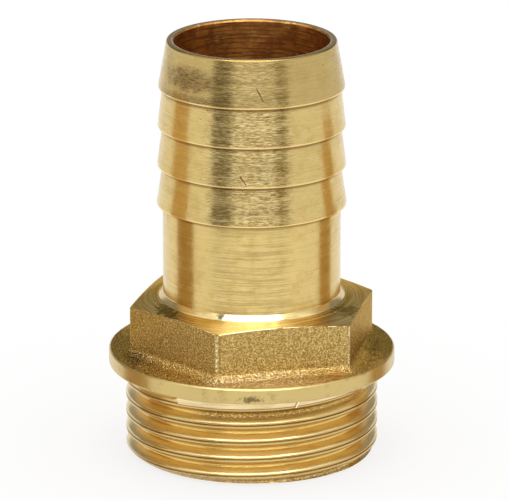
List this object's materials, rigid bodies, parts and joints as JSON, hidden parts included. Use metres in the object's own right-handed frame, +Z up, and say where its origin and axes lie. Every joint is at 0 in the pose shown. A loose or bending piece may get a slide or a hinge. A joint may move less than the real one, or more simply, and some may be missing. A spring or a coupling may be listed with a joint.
{
  "type": "hose tail",
  "caption": "Brass male hose tail: parallel pipe thread, round collar, cast spanner hexagon and a sawtooth-barbed spigot for a push-on hose, with a straight bore right through.",
  "frame": {"origin": "on the bore's axis, in the plane of the end face of the threaded end, on which the tail stands", "axes": "+Z up the bore from the threaded end to the hose end; a corner of the hexagon on +X and a flat facing -Y"},
  "size_m": [0.0378, 0.0376, 0.0556],
  "materials": {
    "brass": "turned on the thread, collar rim and spigot, blasted as cast on the hexagon and the collar's top"
  },
  "bodies": {
    "root": {"hose_tail": "brass"}
  },
  "joints": []
}
